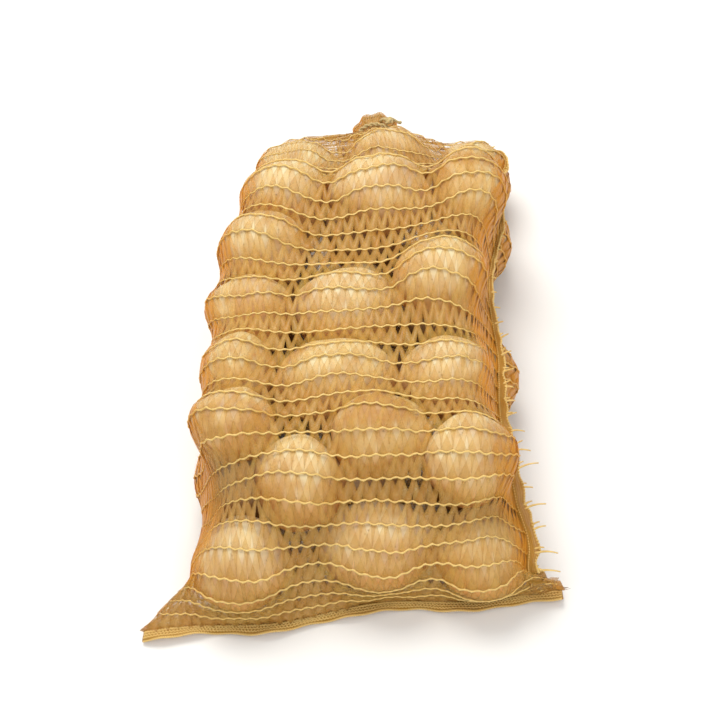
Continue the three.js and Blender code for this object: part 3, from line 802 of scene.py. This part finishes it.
hemLook = {
    "across": 240,  # points along the hem, and round its folded edge
    "round": 9,
    "ends": (0.4985, 0.0015),  # shares of the way round the net, from left to right
    "stitchEnds": (0.4975, 0.0025),
    "height": 0.0021,
    "reach": 0.0085,
    "tuck": 0.003,  # how far it goes in under the net
    "lowest": 0.0002,
    "thick": 0.00176,
    "swell": 0.6,
    "lift": 0.0019,
    "waves": 4.4,
    "smallWaves": 11.3,
    "edgeWaves": 4.3,
    # How far out, how high, how thick and how many stitches: the first row joins the hem to the net
    "stitchRows": [
        (0.0005, 0.0034, 0.0006, 150),
        (0.0032, 0.0036, 0.0005, 120),
        (0.0058, 0.0034, 0.0005, 130),
        (0.0085, 0.0024, 0.0006, 190),
    ],
    "stitchWave": 0.0007,
    "yarn": "#E6B44A",
    "deep": "#B87812",
    "alpha": 0.72,
}


def foldedMaterial():
    # The same tape net folded over itself: dense, ribbed along its rows, and dull where it is sewn
    fold = startMaterial("folded_net")
    place = addNode(fold, "Attribute", {"attribute_name": "place"}).outputs["Vector"]
    # Places grow by 0.9 per step of about 1.2 mm along the hem and by 2 across its 8.5 mm, so the ribs are
    # about 0.4 mm apart, nearly as the yarn's threads are drawn, and the rows about 1.7 mm
    ribs = addNode(fold, "TexWave", {"Scale": 1.1, "Distortion": 2.2, "Detail": 2.0, "Detail Scale": 2.0},
                   {"Vector": place})
    rows = addNode(fold, "TexWave", {"bands_direction": "Y", "Scale": 0.8, "Distortion": 1.6, "Detail": 2.0},
                   {"Vector": place})
    knit = addNode(fold, "Math", {"operation": "MULTIPLY"}, {0: ribs.outputs["Fac"], 1: rows.outputs["Fac"]})
    fine = addNode(fold, "TexNoise", {"Scale": 2.2, "Detail": 4.0}, {"Vector": place})
    mixed = addNode(fold, "Math", {"operation": "MULTIPLY_ADD", 1: 0.55},
                    {0: fine.outputs["Fac"], 2: knit.outputs["Value"]})
    share = addNode(fold, "MapRange", {"From Min": 0.15, "To Min": 1.0, "To Max": 0.0},
                    {"Value": mixed.outputs["Value"]})
    colour = addNode(fold, "MixRGB",
                     {"Color1": linear(hemLook["yarn"]), "Color2": linear(hemLook["deep"])},
                     {"Fac": share.outputs["Result"]})
    bump = addNode(fold, "Bump", {"Strength": 0.8, "Distance": 0.0006}, {"Height": mixed.outputs["Value"]})
    shader = addNode(fold, "BsdfPrincipled", {"Roughness": 0.5, "IOR": 1.5, "Alpha": hemLook["alpha"]},
                     {"Base Color": colour.outputs["Color"], "Normal": bump.outputs["Normal"]})
    addNode(fold, "OutputMaterial", {}, {"Surface": shader.outputs["BSDF"]})
    return fold


def makeFold(name, material, base, out, up, reach, thick, droop):
    # A double layer standing out from a line: over the top, round its free edge and back underneath
    count = len(base)
    steps = hemLook["round"]
    inside = -hemLook["tuck"] / hemLook["reach"]
    sections = [(inside, 0.5)] + [(m / steps, 0.5) for m in range(steps + 1)]
    sections += [(1.03, 0.0)]
    sections += [(m / steps, -0.5) for m in reversed(range(steps + 1))] + [(inside, -0.5)]
    rounds = []
    for far, level in sections:
        swell = 1 + hemLook["swell"] * math.sin(math.pi * min(max(far, 0), 1))
        rise = level * thick * swell + droop * max(far, 0) ** 1.5
        rounds.append(base + out * (reach * far)[:, None] + up * rise[:, None])
    points = np.stack(rounds)
    points[..., 2] = np.maximum(points[..., 2], hemLook["lowest"])
    size = len(sections)
    faces = []
    for m in range(size):
        for k in range(count - 1):
            a, b = m * count + k, (m + 1) % size * count + k
            faces.append((a, a + 1, b + 1, b))
    faces.append(tuple(m * count for m in range(size)))
    faces.append(tuple(m * count + count - 1 for m in reversed(range(size))))
    places = np.zeros((size, count, 3))
    places[..., 0] = 0.9 * np.arange(count)[None]
    places[..., 1] = 2.0 * np.array([far for far, _ in sections])[:, None]
    piece = makePiece(name, points.reshape(-1, 3), faces, material, {"place": places.reshape(-1, 3)})
    return turnOutwards(piece)


def hemLiftAt(share):
    waves = np.sin(2 * math.pi * (hemLook["waves"] * share + 0.1))
    return hemLook["lift"] * (1 + waves + 0.45 * np.sin(2 * math.pi * (hemLook["smallWaves"] * share + 0.4)))


def hemEdgeAt(share):
    # How far the hem reaches, as a share of its usual reach
    return 0.82 + 0.2 * np.sin(2 * math.pi * hemLook["edgeWaves"] * share + 0.8)


def makeHem(material):
    # The foot is sewn flat, and its hem waves at the free edge
    turn = np.linspace(*hemLook["ends"], hemLook["across"])
    count = len(turn)
    base, _ = onNet(np.zeros(count), turn * around)
    base[:, 2] = hemLook["height"]
    share = base[:, 0] / sack["sackWidth"]
    out = unit(np.stack([0.15 * share, -np.ones(count), np.zeros(count)], 1))
    up = np.tile([0.0, 0.0, 1.0], (count, 1))
    reach = hemLook["reach"] * hemEdgeAt(share)
    return makeFold("foot_hem_fold", material, base, out, up, reach, hemLook["thick"], hemLiftAt(share))


def makeHemStitches(material):
    # One overlocked seam at the net, two chains along the hem and one along its folded edge
    stitches = startBundle()
    left, right = hemLook["stitchEnds"]
    for far, high, size, count in hemLook["stitchRows"]:
        k = np.arange(count * 4)
        turn = left + (right - left) * k / (count * 4 - 1)
        path, _ = onNet(np.zeros(len(k)), turn * around)
        share = path[:, 0] / sack["sackWidth"]
        path[:, 1] -= hemEdgeAt(share) * far + hemLook["stitchWave"] * np.sin(k * math.pi / 2)
        rise = hemLiftAt(share) * (far / hemLook["reach"]) ** 1.5
        path[:, 2] = np.maximum(high + rise, 0.0012)
        widths = size * (1 + 0.25 * np.cos(k * math.pi / 2))
        ups = np.tile([0.0, 0.0, 1.0], (len(k), 1))
        addToBundle(stitches, *makeTube(path, widths, ups, 6, False), 0.2)
    return makeBundle(stitches, "foot_hem_stitches", material)


seamLook = {
    "steps": 220,
    "from": 0.035,  # shares of the way from foot to neck
    "to": 0.9,
    "mouthShare": 0.3,  # how much of it still stands out at the mouth
    "thick": 0.0016,
    "lift": 0.001,
    "waves": [(0.0012, 16, 0), (0.0009, 37, 1)],  # depth, waves along the seam and where they start
    "edgeWaves": 23,
    "stitchRows": [(0.12, 0.0008), (0.95, 0.0006)],  # how far out, as a share, and how thick
    "stitchWave": 0.0006,
    "tail": 0.014,
    "tailRadius": 0.0008,
    "tailsAfter": (0.0, 0.45),  # two for each row of stitches, the second one shorter
    "secondTail": 0.55,
}


def seamReachAt(share):
    return sack["seamReach"] * np.clip(1.5 - 2 * share, seamLook["mouthShare"], 1)


def seamEdgeAt(share):
    return seamReachAt(share) * (0.85 + 0.12 * np.sin(2 * math.pi * seamLook["edgeWaves"] * share))


def seamWavesAt(share):
    turn = 2 * math.pi * share
    return sum(depth * np.sin(waves * turn + start) for depth, waves, start in seamLook["waves"])


def seamFrame(share):
    base, way = onNet(share * along, np.zeros(len(share)))
    ahead = unit(onNet(share * along + 0.5, np.zeros(len(share)))[0] - base)
    return base, way, ahead, unit(np.cross(ahead, way))


def makeSeam(material):
    share = np.linspace(seamLook["from"], seamLook["to"], seamLook["steps"])
    base, way, _, across = seamFrame(share)
    base = base + way * seamLook["lift"]
    thick = np.full(len(share), seamLook["thick"])
    reach, droop = seamEdgeAt(share), seamWavesAt(share)
    return makeFold("side_seam_fold", material, base, way, across, reach, thick, droop)


def addTails(stitches):
    # Each row of stitches ends at the seam in loose looped tails
    chance = np.random.default_rng(21)
    for ring in rowPlaces[2 : netLook["rows"] - 1]:
        for after in seamLook["tailsAfter"]:
            share = np.array([(ring + after * 2) / along])
            if not seamLook["from"] + 0.005 < share[0] < seamLook["to"] + 0.02:
                continue
            base, way, ahead, across = (v[0] for v in seamFrame(share))
            reach = seamReachAt(share[0])
            length = seamLook["tail"] * (reach / sack["seamReach"]) * chance.uniform(0.5, 1.2)
            length = length * (seamLook["secondTail"] if after else 1)
            t = np.linspace(0, 1, 9)[:, None]
            rise = chance.uniform(0.1, 0.6)
            curl = chance.uniform(-0.35, 0.35)
            start = base + way * (0.7 * reach)
            path = start + way * length * t + ahead * length * (rise * t - 0.3 * t * t)
            path = path + across * length * curl * t * t
            widths = seamLook["tailRadius"] * (1.15 - 0.6 * t[:, 0])
            addToBundle(stitches, *makeTube(path, widths, np.tile(across, (len(t), 1)), 6, False), 0.1)


def makeSeamStitches(material):
    stitches = startBundle()
    addTails(stitches)
    k = np.arange(seamLook["steps"] * 4)
    share = seamLook["from"] + (seamLook["to"] - seamLook["from"]) * k / (len(k) - 1)
    base, way, _, across = seamFrame(share)
    waveOut = seamLook["stitchWave"] * np.sin(k * math.pi / 2)[:, None]
    waveAcross = seamLook["stitchWave"] * np.cos(k * math.pi / 2)[:, None]
    for far, size in seamLook["stitchRows"]:
        out = seamLook["lift"] + (seamEdgeAt(share) * far)[:, None] + waveOut
        lift = (far**1.5 * seamWavesAt(share))[:, None] + waveAcross
        addToBundle(stitches, *makeTube(base + way * out + across * lift, size, across, 6, False), 0.3)
    return makeBundle(stitches, "side_seam_stitches", material)


foldMaterial = foldedMaterial()
hem, hemStitches = makeHem(foldMaterial), makeHemStitches(chainMaterial)
seam, seamStitches = makeSeam(foldMaterial), makeSeamStitches(chainMaterial)
sewn = ((hem, "foot_hem"), (hemStitches, "foot_hem"), (seam, "side_seam"), (seamStitches, "side_seam"))
for piece, node in sewn:
    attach(piece, "root")
    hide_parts(node)
print("hem and seam sewn")


frillLook = {
    "points": 216,
    "pleats": 9,
    "smallPleats": 31,
    "smallShare": 0.35,
    "ragged": 0.0016,  # how far the pleats stand out at the free edge
    # Share of the neck's straight part and of the frill beyond it, radius, and how deep the pleats are as a
    # share of it: out over the string and the frill, then back in through the throat
    "sections": [
        (0.0651, 0, 0.0128, 0.02),
        (0.5, 0, 0.0120, 0.03),
        (1, 0, 0.0122, 0.04),
        (1, 0.25, 0.0152, 0.06),
        (1, 0.5, 0.0172, 0.07),
        (1, 0.75, 0.0180, 0.08),
        (1, 0.92, 0.0166, 0.10),
        (1, 0.99, 0.0135, 0.14),
        (1, 0.96, 0.0100, 0.18),
        (1, 0.8, 0.0066, 0.22),
        (1, 0.5, 0.0036, 0.25),
        (0.9, 0, 0.0012, 0.30),
    ],
}


def onNeck(local):
    placed = np.asarray(local) @ np.array(neckTurn).T + np.array(neckCentre) + np.array(shift)
    placed[..., 2] = np.maximum(placed[..., 2], 0.0012)
    return placed


def makeFrill(material):
    # The gathered net beyond the string: deep pleats outside, and a folded throat that closes the mouth
    count = frillLook["points"]
    angle = 2 * math.pi * np.arange(count) / count
    pleat = np.cos(frillLook["pleats"] * angle)
    pleat += frillLook["smallShare"] * np.cos(frillLook["smallPleats"] * angle + 2 * np.sin(2 * angle))
    whole = neckStraight + sack["frillLength"]
    rounds = []
    for neckShare, frillShare, radius, depth in frillLook["sections"]:
        behind = neckShare * neckStraight + frillShare * sack["frillLength"]
        wide = radius * (1 + depth * pleat)
        end = behind - frillLook["ragged"] * (behind / whole) * pleat
        rounds.append(onNeck(np.stack([wide * np.cos(angle), end, wide * np.sin(angle)], 1)))
    size = len(rounds)
    faces = []
    for m in range(size - 1):
        a, b = m * count, (m + 1) * count
        faces += [(a + k, a + (k + 1) % count, b + (k + 1) % count, b + k) for k in range(count)]
    faces.append(tuple(reversed(range(count))))
    faces.append(tuple((size - 1) * count + k for k in range(count)))
    places = np.zeros((size, count, 3))
    places[..., 0] = 0.45 * np.arange(count)[None]
    places[..., 1] = 0.7 * np.arange(size)[:, None]
    points = np.concatenate(rounds)
    piece = makePiece("frill_folds", points, faces, material, {"place": places.reshape(-1, 3)})
    return turnOutwards(piece)


stringLook = {
    "strand": 0.00088,  # radius of each of the two plies
    "twist": 0.0095,  # length of one turn
    "seat": 0.0014,  # from the neck's radius to the string
    "knotAt": 60,  # degrees round the neck
    "knotGap": 0.0006,
    "knotRadius": 0.0038,
    "knotLoop": 0.0029,
    "knotStrand": 0.0013,
    "tailStrand": 0.0012,
    "tails": (0.021, 0.016),
    "colour": "#EAD59C",
    "shade": "#CDB070",
}


def stringMaterial():
    # Two-ply string of pale yellow plastic fibre: slightly shiny, with fine slanting threads
    string = startMaterial("twisted_string")
    place = addNode(string, "Attribute", {"attribute_name": "place"}).outputs["Vector"]
    # Places run from 0 to 1 round a ply, about 5.5 mm. The real fibres are finer than the render shows, so
    # the threads are drawn about 0.2 mm apart
    slant = addNode(string, "Mapping", {"Rotation": (0.0, 0.0, 0.7), "Scale": (6.0, 2.0, 1.0)},
                    {"Vector": place})
    threads = addNode(string, "TexWave", {"Scale": 1.6, "Distortion": 0.8, "Detail": 2.0},
                      {"Vector": slant.outputs["Vector"]})
    colour = addNode(string, "MixRGB",
                     {"Color1": linear(stringLook["shade"]), "Color2": linear(stringLook["colour"])},
                     {"Fac": threads.outputs["Fac"]})
    bump = addNode(string, "Bump", {"Strength": 0.6, "Distance": 0.0003}, {"Height": threads.outputs["Fac"]})
    shader = addNode(string, "BsdfPrincipled", {"Roughness": 0.5, "IOR": 1.5},
                     {"Base Color": colour.outputs["Color"], "Normal": bump.outputs["Normal"]})
    addNode(string, "OutputMaterial", {}, {"Surface": shader.outputs["BSDF"]})
    return string


def makeString(material):
    string = startBundle()
    radius = sack["neckRadius"] + stringLook["seat"] + sack["cordThick"] / 2
    turns = round(2 * math.pi * radius / stringLook["twist"])
    count = turns * 14
    angle = 2 * math.pi * np.arange(count) / count
    ups = np.tile(np.array(neckTurn) @ np.array([0.0, 1.0, 0.0]), (count, 1))
    for ply in (0, 1):
        spin = turns * angle + math.pi * ply
        wide = radius + stringLook["strand"] * np.cos(spin)
        behind = neckStraight / 2 + stringLook["strand"] * np.sin(spin)
        path = onNeck(np.stack([wide * np.cos(angle), behind, wide * np.sin(angle)], 1))
        addToBundle(string, *makeTube(path, stringLook["strand"], ups, 8, True))
    return makeBundle(string, "drawstring_twist", material)


def makeKnot(material):
    # An overhand knot on top of the string, and its two tails
    knot = startBundle()
    away = sack["neckRadius"] + sack["netWall"] + sack["cordThick"]
    away = away + stringLook["knotGap"] + stringLook["knotRadius"]
    at = math.radians(stringLook["knotAt"])
    middle = np.array([away * math.cos(at), neckStraight / 2, away * math.sin(at)])
    t = 2 * math.pi * np.arange(72) / 72
    x, y, z = np.sin(t) + 2 * np.sin(2 * t), 1.2 * (np.cos(t) - 2 * np.cos(2 * t)), -1.3 * np.sin(3 * t)
    path = onNeck(middle + np.stack([x, y, z], 1) * stringLook["knotLoop"] / 3)
    ahead = unit(np.roll(path, -1, 0) - np.roll(path, 1, 0))
    ups = unit(np.cross(ahead, [0.3, 0.2, 1.0]))
    addToBundle(knot, *makeTube(path, stringLook["knotStrand"], ups, 8, True))
    u = np.linspace(0, 1, 14)
    widths = stringLook["tailStrand"] * (1 + 0.25 * np.clip(8 * u - 7, 0, 1))  # frayed a little at the end
    for sign, length in zip((-1, 1), stringLook["tails"]):
        droop = -0.35 * length * u**2 + 0.001 * np.sin(6 * u)
        path = onNeck(middle + np.stack([sign * 0.55 * length * u, 0.75 * length * u**1.3, droop], 1))
        addToBundle(knot, *makeTube(path, widths, np.tile([0.0, 0.1, 1.0], (len(u), 1)), 8, False))
    return makeBundle(knot, "drawstring_tied", material)


frill = makeFrill(foldMaterial)
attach(frill, "root")
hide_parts("net_wall")
twine = stringMaterial()
for piece, node in ((makeString(twine), "drawstring"), (makeKnot(twine), "drawstring_knot")):
    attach(piece, "root")
    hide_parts(node)
print("neck tied")


studio = {
    "azimuth": 6.7,
    "elevation": 50.0,
    "roll": 5.6,
    "distance": 1.62,
    "lens": 112,
    "target": (0.0, -0.03, 0.045),
    "lampTarget": (0.0, 0.0, 0.05),
    # Name, place, size, power and colour: a large soft lamp behind and a weaker one in front
    "lamps": [
        ("key", (-0.35, 0.7, 1.6), 1.4, 27, "#FFFDF8"),
        ("fill", (0.3, -1.3, 1.3), 1.8, 13.5, "#FFFFFF"),
    ],
    "floor": "#F3F2EF",
    "world": "#F4F5F7",
    "worldStrength": 0.6,
}


def addFloor():
    # Matt white paper: it only shows soft shadows
    paper = startMaterial("pale_floor")
    shader = addNode(paper, "BsdfPrincipled", {"Base Color": linear(studio["floor"]), "Roughness": 0.9})
    addNode(paper, "OutputMaterial", {}, {"Surface": shader.outputs["BSDF"]})
    bpy.ops.mesh.primitive_plane_add(size=12, location=(0, 0, -0.0002))
    floor = bpy.context.object
    floor.name = "floor"
    floor.data.materials.append(paper)
    floor.select_set(False)


def aimCamera():
    a, e, r = (math.radians(studio[key]) for key in ("azimuth", "elevation", "roll"))
    back = Vector((math.sin(a) * math.cos(e), -math.cos(a) * math.cos(e), math.sin(e)))
    right = Vector((math.cos(a), math.sin(a), 0))
    up = back.cross(right)
    turnedRight = right * math.cos(r) - up * math.sin(r)
    turnedUp = up * math.cos(r) + right * math.sin(r)
    data = bpy.data.cameras.new("camera")
    data.lens = studio["lens"]
    data.sensor_width = 36
    camera = bpy.data.objects.new("camera", data)
    bpy.context.scene.collection.objects.link(camera)
    turn = Matrix((turnedRight, turnedUp, back)).transposed()
    place = Vector(studio["target"]) + back * studio["distance"]
    camera.matrix_world = Matrix.Translation(place) @ turn.to_4x4()
    bpy.context.scene.camera = camera


def addLamp(name, place, size, power, colour):
    data = bpy.data.lights.new(name, "AREA")
    data.shape = "DISK"
    data.size = size
    data.energy = power
    data.color = linear(colour)[:3]
    lamp = bpy.data.objects.new(name, data)
    lamp.location = place
    aim = Vector(studio["lampTarget"]) - Vector(place)
    lamp.rotation_euler = aim.to_track_quat("-Z", "Y").to_euler()
    bpy.context.scene.collection.objects.link(lamp)


addFloor()
aimCamera()
for lamp in studio["lamps"]:
    addLamp(*lamp)
world = bpy.data.worlds.new("studio")
world.use_nodes = True
world.node_tree.nodes["Background"].inputs["Color"].default_value = linear(studio["world"])
world.node_tree.nodes["Background"].inputs["Strength"].default_value = studio["worldStrength"]
bpy.context.scene.world = world
bpy.context.scene.view_settings.view_transform = "Standard"
print("studio set")
